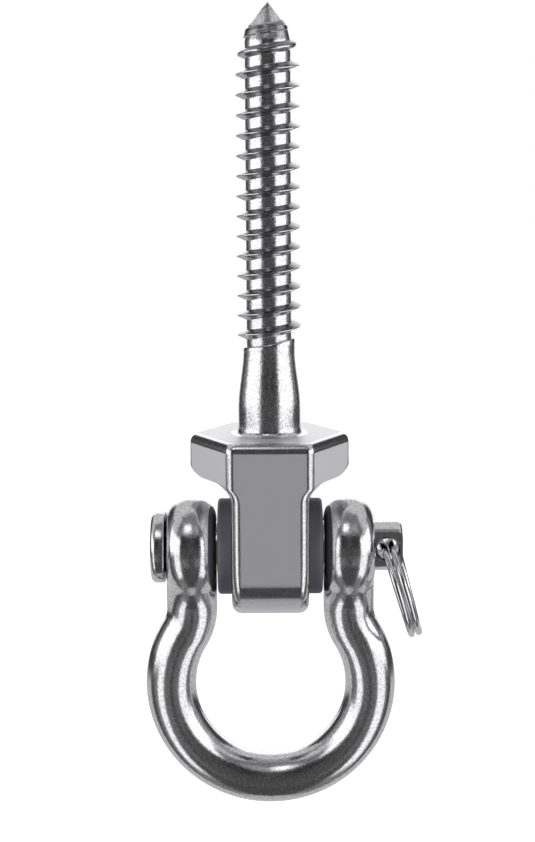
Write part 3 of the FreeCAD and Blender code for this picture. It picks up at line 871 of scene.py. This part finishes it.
@dataclass
class Shackle:
    """Bow bent from round rod, with an eye forged on each leg.

    Attributes:
        rod: Radius of the rod.
        leg: Distance of a leg from the middle.
        bow: Radius of the bow to the rod's middle.
        bow_drop: Depth of the bow's centre under the pin.
        bend: Radius of the outward bend under each eye.
        eye: Radius of the eye.
        eye_half: Half the eye's thickness.
        eye_power: Power of the superellipse that the eye's section follows.
        eye_bore: Radius of the hole in the eye.
        bore_reach: How far the drill reaches from the middle.
        saddle: Reach of the blend between eye and leg.
        saddle_span: Heights over the pin between which the blend grows.
        leg_depth: How much deeper than the rod the leg is, front to back, at the pin.
        leg_span: Heights over the pin between which the leg grows so deep.
        columns: Points round the rod.
        crown_rows: Rows from the eye's crown to the pin's height.
        saddle_rows: Heights over the pin between which rows are close, and how many.
        bend_rows: Rows on the bend.
        bow_rows: Rows on half the bow.
    """

    rod: float = 4.0
    leg: float = 12.5
    bow: float = 16.0
    bow_drop: float = 22.54
    bend: float = 8.0
    eye: float = 8.0
    eye_half: float = 4.0
    eye_power: float = 2.4
    eye_bore: float = 4.08
    bore_reach: float = 18.0
    saddle: float = 0.6
    saddle_span: Span = (-2.5, -5.5)
    leg_depth: float = 3.0
    leg_span: Span = (-10.0, -2.5)
    columns: int = 80
    crown_rows: int = 26
    saddle_rows: tuple[tuple[float, float, int], ...] = ((-0.3, -3.9, 10), (-4.1, -9.3, 40))
    bend_rows: int = 15
    bow_rows: int = 60
    finish: PolishedStainless = PolishedStainless(
        "stainless_shackle", roughness=(0.12, 0.20), peel_width=5.0, line_spacing=0.36,
        line_stretch=(1.0, 1.0, 1.0), line_depth=0.008, pit_shade=0.19)

    def depth(self, z: Array) -> Array:
        """Half the leg's depth, which eases from the eye's down to the rod's radius."""
        return self.rod + self.leg_depth * smooth_step(*self.leg_span, z)

    def eye_distance(self, x: Array, y: Array, z: Array) -> Array:
        """Distance to the eye joined with its leg, negative inside.

        The eye's section is half a superellipse as deep as it is half wide,
        carried round the pin, and the leg under its middle an ellipse, forged
        deeper near the eye. The two join with a polynomial blend that is
        widest at the front and back, and nothing where they are flush.

        Args:
            x: Places across the eye.
            y: Places to the front and back.
            z: Heights over the pin's axis.

        Returns:
            The distance at each place.
        """
        out = np.maximum(np.hypot(y, z) - (self.eye - self.eye_half), 0.0) / self.eye_half
        aside = np.abs(x) / self.eye_half
        power = self.eye_power
        eye = self.eye_half * ((out ** power + aside ** power) ** (1.0 / power) - 1.0)
        leg = np.hypot(np.hypot(x, y * self.rod / self.depth(z)), np.maximum(z, 0.0)) - self.rod
        facing = y * y / np.maximum(x * x + y * y, 1e-9)
        blend = np.maximum(self.saddle * smooth_step(*self.saddle_span, z) * facing, 1e-6)
        share = np.clip(0.5 + 0.5 * (leg - eye) / blend, 0.0, 1.0)
        return leg + (eye - leg) * share - blend * share * (1.0 - share)

    def eye_reach(self, height: Array, angle: Array, halvings: int = 44) -> Array:
        """How far the eye and leg reach from the leg's axis, found by halving.

        Args:
            height: Heights over the pin's axis.
            angle: Angles round the leg's axis.
            halvings: How often the range between inside and outside is halved.

        Returns:
            Reach for each height and angle.
        """
        z, turn = np.meshgrid(height, angle, indexing="ij")
        low, high = np.zeros_like(z), np.full_like(z, self.eye + 1.5 * self.eye_half)
        for _ in range(halvings):
            middle = 0.5 * (low + high)
            inside = self.eye_distance(middle * np.cos(turn), middle * np.sin(turn), z) < 0.0
            low, high = np.where(inside, middle, low), np.where(inside, high, middle)
        return 0.5 * (low + high)

    def right_path(self) -> tuple[Array, Array, Array]:
        """Trace the right half of the rod's middle, from the eye's crown to the bow's foot.

        It is the leg, an arc of the bend's radius and an arc of the bow's
        radius, which touch. Rows stand closer round the eye and its saddle.

        Returns:
            Heights of the leg's rows, places (x, height) of all rows, and
            the path's direction at each.
        """
        reach, bend_x = self.bow + self.bend, self.leg + self.bend
        rise = math.sqrt(reach * reach - bend_x * bend_x)
        bend_z, lean = rise - self.bow_drop, math.atan2(rise, bend_x)
        crown = self.eye * np.sin(np.linspace(RIGHT_ANGLE, 0.0, self.crown_rows))
        saddle = [np.linspace(*rows) for rows in self.saddle_rows]
        height = np.concatenate([crown, *saddle, [bend_z]])
        bend = np.linspace(0.0, lean, self.bend_rows)[1:]
        bow = np.linspace(lean, -RIGHT_ANGLE, self.bow_rows)[1:]
        x = np.concatenate([np.full_like(height, self.leg), bend_x - self.bend * np.cos(bend),
                            self.bow * np.cos(bow)])
        z = np.concatenate([height, bend_z - self.bend * np.sin(bend),
                            self.bow * np.sin(bow) - self.bow_drop])
        turn = np.concatenate([np.zeros_like(height), bend, bow])
        return height, np.stack([x, z], axis=-1), np.stack([np.sin(turn), -np.cos(turn)], axis=-1)

    def build(self) -> list[bpy.types.Object]:
        """Carry the rod's section along legs, bends and bow, and bore both eyes.

        The left half of the path mirrors the right one. At each place the
        section lies across the path: reach times (cosine along the in-plane
        normal + sine along y).

        Returns:
            The shackle.
        """
        height, path, way = self.right_path()
        angle = round_angles(self.columns)
        depth = self.depth(path[len(height):, 1:])
        rod = 1.0 / np.hypot(np.cos(angle) / self.rod, np.sin(angle) / depth)
        radius = np.concatenate([self.eye_reach(height, angle), rod])
        radius = np.concatenate([radius, radius[-2::-1]])
        path = np.concatenate([path, path[-2::-1] * [-1.0, 1.0]])
        way = np.concatenate([way, way[-2::-1] * [1.0, -1.0]])
        normal = np.stack([-way[:, 1], way[:, 0]], axis=-1)
        across = radius * np.cos(angle)
        grid = np.stack([path[:, :1] + normal[:, :1] * across, radius * np.sin(angle),
                         path[:, 1:] + normal[:, 1:] * across], axis=-1) + TO_PIN
        piece = new_piece("shackle_bow", grid)
        bored(piece, straight_drill(self.eye_bore, self.bore_reach), Axis.X, TO_PIN)
        flatten_flats(piece)
        dress(piece, self.finish, Body.SHACKLE, Node.SHACKLE)
        return [piece]


# Place of the pin's cross hole along the pin.
CROSS_HOLE = np.array([18.55, 0.0, 0.0])


@dataclass
class ClevisPin:
    """Headed pin with a cross hole for the ring.

    Attributes:
        shaft: Radius of the pin.
        head: Radius of its head.
        head_outer: Place of the head's outer face.
        head_inner: Place of the face that meets the eye.
        end: Place of the pin's free end.
        edges: Roundings of the head's two edges, the corner under it and the end.
        hole: Radius of the cross hole.
        countersink: Radius at the cross hole's mouths.
        spot_face: Depth of the flats round the cross hole, from the pin's axis.
        spot_radius: Radius of those flats.
        drill_reach: How far the drill reaches from the pin's axis.
    """

    shaft: float = 4.0
    head: float = 5.75
    head_outer: float = -18.8
    head_inner: float = -16.6
    end: float = 20.9
    edges: tuple[float, ...] = (0.9, 0.35, 0.15, 0.7)
    hole: float = 1.7
    countersink: float = 1.95
    spot_face: float = 2.9
    spot_radius: float = 3.4
    drill_reach: float = 6.0
    finish: PolishedStainless = PolishedStainless(
        "stainless_pin", line_stretch=(1.0, 8.0, 8.0), pit_shade=0.12)

    def build(self) -> list[bpy.types.Object]:
        """Turn the pin about its axis, and drill the cross hole through two spot faces.

        Returns:
            The pin.
        """
        corners = [(self.head_outer, 0.0), (self.head_outer, self.head), (self.head_inner, self.head),
                   (self.head_inner, self.shaft), (self.end, self.shaft), (self.end, 0.0)]
        piece = new_piece("pin_turning", turned(rounded(corners, self.edges), Axis.X) + TO_PIN)
        mouth = self.spot_face - (self.countersink - self.hole)
        half = np.array([(self.drill_reach, 0.0), (self.drill_reach, self.spot_radius),
                         (self.spot_face, self.spot_radius), (self.spot_face, self.countersink),
                         (mouth, self.hole)])
        bored(piece, np.concatenate([half * [-1.0, 1.0], half[::-1]]), Axis.Y, TO_PIN + CROSS_HOLE)
        flatten_flats(piece)
        dress(piece, self.finish, Body.PIN, Node.PIN)
        return [piece]


@dataclass
class SplitRing:
    """Two turns of round wire through the pin's cross hole.

    Attributes:
        outside: Diameter over the wire.
        wire: Diameter of the wire.
        gap: Space between the two turns.
        turns: Turns of the wire.
        lean: Lean outwards from the vertical, in degrees.
        seam: Angle of the wire's first end from the lowest point, in degrees.
        rise: Height of the wire's middle over the hole's middle.
        end_radius: Radius of the flat on each cut end.
        end_bevel: Length of the bevel round it.
        rows: Places along the wire.
        columns: Points round the wire.
    """

    outside: float = 16.5
    wire: float = 1.05
    gap: float = 0.15
    turns: float = 2.0
    lean: float = 15.7
    seam: float = 130.0
    rise: float = 0.55
    end_radius: float = 0.42
    end_bevel: float = 0.1
    rows: int = 240
    columns: int = 24
    finish: PolishedStainless = PolishedStainless(
        "stainless_ring", roughness=(0.08, 0.14), peel_height=0.0, line_depth=0.0001, pit_shade=0.0)

    def build(self) -> list[bpy.types.Object]:
        """Sweep a round section along the coil, then lean the coil out.

        The coil is a circle that climbs a wire and a gap in each turn. The
        section at an angle is spanned by the outward direction and the cross
        product of the climb's direction with it. Each end has two more rows,
        the flat's edge and its middle, where the section shrinks to a point.

        Returns:
            The ring.
        """
        radius = (self.outside - self.wire) / 2.0
        turn = np.linspace(0.0, self.turns, self.rows)
        angle = FULL_TURN * turn + math.radians(self.seam)
        climb = (self.wire + self.gap) * (self.seam / 360.0 - self.turns / 2.0 + turn)
        outward = np.stack([np.cos(angle), np.sin(angle), np.zeros_like(angle)], axis=-1)
        middle = outward * radius + climb[:, None] * [0.0, 0.0, 1.0]
        way = np.gradient(middle, axis=0)
        way /= np.linalg.norm(way, axis=1, keepdims=True)
        side = np.cross(way, outward)
        middle, outward, side = (np.concatenate([rows[:1], rows[:1], rows, rows[-1:], rows[-1:]])
                                 for rows in (middle, outward, side))
        middle[2] += way[0] * self.end_bevel
        middle[-3] -= way[-1] * self.end_bevel
        reach = np.full((len(middle), 1, 1), self.wire / 2.0)
        reach[[1, -2]], reach[[0, -1]] = self.end_radius, 0.0
        across = round_angles(self.columns)[None, :, None]
        section = np.cos(across) * outward[:, None] + np.sin(across) * side[:, None]
        coil = middle[:, None] + reach * section
        lean_out = np.array(Matrix.Rotation(math.radians(90.0 - self.lean), 3, "Y"))
        centre = TO_PIN + CROSS_HOLE + lean_out @ [radius - self.rise, 0.0, 0.0]
        piece = new_piece("ring_wire", coil @ lean_out.T + centre)
        dress(piece, self.finish, Body.RING, Node.RING)
        return [piece]


class Side(Enum):
    """Side of the light tent that a cloth hangs on."""

    BOTH = 0
    LEFT = -1
    RIGHT = 1


@dataclass(frozen=True)
class Cloth:
    """One cloth or softbox of the light tent.

    Attributes:
        bearing: Degrees from the camera's side where it starts and ends.
        level: Degrees above the horizon where it starts and ends.
        brightness: Its brightness, where 1 is white.
        fade: Degrees over which its edges fade.
        side: Side of the tent that it hangs on.
    """

    bearing: Span
    level: Span
    brightness: float
    fade: float = 5.0
    side: Side = Side.BOTH

    def cover(self, bearing: Array, level: Array) -> Array:
        """How much of the tent it covers: the product of four eased edges.

        Args:
            bearing: Degrees from the camera's side.
            level: Degrees above the horizon.

        Returns:
            Share covered, from 0 to 1.
        """
        half = self.fade / 2.0
        turn = np.abs(bearing) if self.side is Side.BOTH else bearing * self.side.value
        edges = [smooth_step(low - half, low + half, at) * smooth_step(high + half, high - half, at)
                 for (low, high), at in ((self.bearing, turn), (self.level, level))]
        return edges[0] * edges[1]


@dataclass(frozen=True)
class Lamp:
    """Soft square lamp that points at the part.

    Attributes:
        name: Name of the lamp.
        bearing: Degrees from the camera's side, positive towards +X.
        level: Degrees above the horizon.
        size: Width in metres.
        power: Power in watts.
        distance: Distance from the part in metres.
    """

    name: str
    bearing: float
    level: float
    size: float
    power: float
    distance: float = 0.9

    def hang(self) -> None:
        """Hang the lamp, so that it lights the part but no reflection shows it."""
        data = bpy.data.lights.new(self.name, "AREA")
        data.size, data.energy, data.shape = self.size, self.power, "SQUARE"
        lamp = placed(self.name, data)
        way, up = math.radians(self.bearing), math.radians(self.level)
        lamp.location = (self.distance * math.cos(up) * math.sin(way),
                         -self.distance * math.cos(up) * math.cos(way), self.distance * math.sin(up))
        lamp.rotation_euler = (RIGHT_ANGLE - up, 0.0, way)
        lamp.visible_glossy = False


@dataclass
class Studio:
    """White sweep, soft lamps, a light tent for the reflections, and the camera.

    Attributes:
        floor_z: Height of the floor.
        floor_half: Half the floor's width, in metres.
        floor_colour: Colour of the floor.
        floor_glow: Strength of the floor's own light, which keeps it white.
        tent_radius: Radius of the light tent, in metres.
        tent_grid: Points of the tent from foot to top and round it.
        tent_grey: Brightness of the bare tent.
        cloths: What hangs in the tent, from the first to the last.
        lamps: The lamps.
        room_light: Brightness of the room's own light on the part.
        camera_place: The camera's place.
        camera_pitch: Degrees that it looks down.
        camera_yaw: Degrees that it looks to the left.
        camera_roll: Degrees that it leans.
        focal_pixels: Focal length in pixels.
        photo_height: Longer side of the photograph, in pixels.
        sensor: Width of the camera's sensor.
    """

    floor_z: float = -560.0
    floor_half: float = 6.0
    floor_colour: str = "#f4f4f4"
    floor_glow: float = 0.92
    tent_radius: float = 0.5
    tent_grid: tuple[int, int] = (91, 241)
    tent_grey: float = 0.22
    cloths: tuple[Cloth, ...] = (
        Cloth((58, 190), (-6, 66), 0.70, 6.0),
        Cloth((150, 190), (-4, 36), 1.55, 8.0),
        Cloth((-9, 90), (66, 95), 0.25, 12.0),
        Cloth((80, 190), (52, 85), 0.75, 10.0),
        Cloth((36, 97), (-10, 24), 1.75, 8.0),
        Cloth((92, 120), (-16, -4), 0.07),
        Cloth((99, 120), (-4, 34), 0.24),
        Cloth((118, 144), (-16, 34), 0.06),
        Cloth((144, 190), (-16, -11), 0.06, 3.0),
        Cloth((144, 190), (-11, -3), 1.40, 3.0),
        Cloth((34, 72), (-58, -10), 1.4, 7.0, Side.RIGHT),
        Cloth((36, 64), (-58, -10), 1.4, 7.0, Side.LEFT),
        Cloth((84, 106), (-62, -16), 0.07),
        Cloth((104, 190), (-80, -18), 0.64),
        Cloth((-9, 32), (-40, -12), 0.17, 8.0),
        Cloth((-9, 34), (-16, 32), 0.08, 10.0),
        Cloth((-9, 34), (5, 32), 0.04, 6.0),
        Cloth((-9, 7), (-72, 34), 0.08, 8.0),
        Cloth((-9, 36), (-82, -38), 0.07, 6.0),
        Cloth((-34, 2), (38, 61), 0.48, 10.0, Side.RIGHT),
        Cloth((10, 34), (38, 61), 0.40, 8.0, Side.RIGHT),
        Cloth((-25, -2), (43, 60), 2.1, 13.0, Side.RIGHT),
        Cloth((-9, 190), (-95, -81), 0.62, 5.0),
    )
    lamps: tuple[Lamp, ...] = (Lamp("key_lamp", -40.0, 6.0, 0.6, 26.0),
                               Lamp("fill_lamp", 40.0, 2.0, 0.6, 22.0),
                               Lamp("top_lamp", 0.0, 80.0, 0.9, 2.0))
    room_light: float = 0.12
    camera_place: tuple[float, float, float] = (-1.3, -271.7, 47.9)
    camera_pitch: float = 9.63
    camera_yaw: float = -0.21
    camera_roll: float = -0.31
    focal_pixels: float = 1754.6
    photo_height: int = 842
    sensor: float = 36.0

    def floor(self) -> None:
        """Lay a pale floor that is white to the camera but keeps shadows."""
        half, z = self.floor_half, self.floor_z * MM
        mesh = bpy.data.meshes.new("floor")
        corners = [(-half, -half, z), (half, -half, z), (half, half, z), (-half, half, z)]
        mesh.from_pydata(corners, [], [(0, 1, 2, 3)])
        material, tree = fresh_material("white_paper")
        paper = add_node(tree, "ShaderNodeBsdfDiffuse", inputs={"Color": linear(self.floor_colour)})
        glow = add_node(tree, "ShaderNodeEmission", inputs={
            "Color": linear(WHITE), "Strength": self.floor_glow})
        both = add_node(tree, "ShaderNodeAddShader", links={
            0: paper.outputs["BSDF"], 1: glow.outputs["Emission"]})
        add_node(tree, "ShaderNodeOutputMaterial", links={"Surface": both.outputs["Shader"]})
        mesh.materials.append(material)
        floor = placed("floor", mesh)
        floor.visible_diffuse = False

    def tent(self) -> None:
        """Stand a light tent round the part that only reflections see.

        The cloth is a sphere, and its brightness a function of the bearing
        from the camera's side and of the level over the horizon.
        """
        level, way = np.meshgrid(np.linspace(-RIGHT_ANGLE, RIGHT_ANGLE, self.tent_grid[0]),
                                 np.linspace(-math.pi, math.pi, self.tent_grid[1]), indexing="ij")
        grid = self.tent_radius * np.stack([np.cos(level) * np.sin(way), -np.cos(level) * np.cos(way),
                                            np.sin(level)], axis=-1)
        bright = self.tent_brightness(np.degrees(way), np.degrees(level))
        mesh = grid_mesh("light_tent", grid, False, {"glow": bright})
        material, tree = fresh_material("tent_cloth")
        glow = add_node(tree, "ShaderNodeAttribute", attribute_name="glow").outputs["Fac"]
        cloth = add_node(tree, "ShaderNodeEmission", links={"Strength": glow})
        add_node(tree, "ShaderNodeOutputMaterial", links={"Surface": cloth.outputs["Emission"]})
        material.cycles.emission_sampling = "NONE"
        mesh.materials.append(material)
        tent = placed("light_tent", mesh)
        tent.visible_camera = tent.visible_diffuse = tent.visible_shadow = False
        tent.visible_transmission = tent.visible_volume_scatter = False

    def tent_brightness(self, bearing: Array, level: Array) -> Array:
        """Brightness of the tent's cloth: each cloth hung in turn covers the ones before it.

        Args:
            bearing: Degrees from the camera's side, positive towards +X.
            level: Degrees above the horizon.

        Returns:
            Brightness, where 1 is white.
        """
        bright = np.full(bearing.shape, self.tent_grey)
        for cloth in self.cloths:
            cover = cloth.cover(bearing, level)
            bright = bright * (1.0 - cover) + cloth.brightness * cover
        return bright

    def world(self) -> None:
        """Light the room softly, white to camera, mirrors and glass."""
        world = bpy.data.worlds.new("studio")
        bpy.context.scene.world = world
        world.use_nodes = True
        tree = world.node_tree
        tree.nodes.clear()
        ray = add_node(tree, "ShaderNodeLightPath").outputs
        seen = add_node(tree, "ShaderNodeMath", operation="MAXIMUM", links={
            0: ray["Is Camera Ray"], 1: ray["Is Glossy Ray"]}).outputs["Value"]
        through = add_node(tree, "ShaderNodeMath", operation="MAXIMUM", links={
            0: seen, 1: ray["Is Transmission Ray"]}).outputs["Value"]
        level = add_node(tree, "ShaderNodeMapRange", links={"Value": through}, inputs={
            "To Min": self.room_light}).outputs["Result"]
        back = add_node(tree, "ShaderNodeBackground", links={"Strength": level}, inputs={
            "Color": linear(WHITE)})
        add_node(tree, "ShaderNodeOutputWorld", links={"Surface": back.outputs["Background"]})

    def camera(self) -> None:
        """Set the camera where the photograph was taken from."""
        data = bpy.data.cameras.new("camera")
        data.sensor_width = self.sensor
        data.lens = self.focal_pixels / self.photo_height * self.sensor
        camera = placed("camera", data)
        camera.location = tuple(part * MM for part in self.camera_place)
        yaw, pitch, roll = (Matrix.Rotation(math.radians(degrees), 3, axis) for degrees, axis in (
            (self.camera_yaw, "Z"), (90.0 - self.camera_pitch, "X"), (self.camera_roll, "Z")))
        camera.rotation_euler = (yaw @ pitch @ roll).to_euler()
        bpy.context.scene.camera = camera

    def build(self) -> None:
        """Set the whole studio up."""
        bpy.context.scene.view_settings.view_transform = "Standard"
        self.floor()
        self.tent()
        for lamp in self.lamps:
            lamp.hang()
        self.world()
        self.camera()


def main() -> None:
    """Build the part's pieces in order and report each one, then build the studio."""
    logging.basicConfig(level=logging.INFO, format="%(message)s")
    parts = [WoodScrew(), HeadCasting(), Bush(Node.BUSH_LEFT, -1.0), Bush(Node.BUSH_RIGHT, 1.0),
             Shackle(), ClevisPin(), SplitRing()]
    for part in parts:
        for piece in part.build():
            log.info("%s: %d points", piece.name, len(piece.data.vertices))
    Studio().build()


if __name__ == "__main__":
    main()
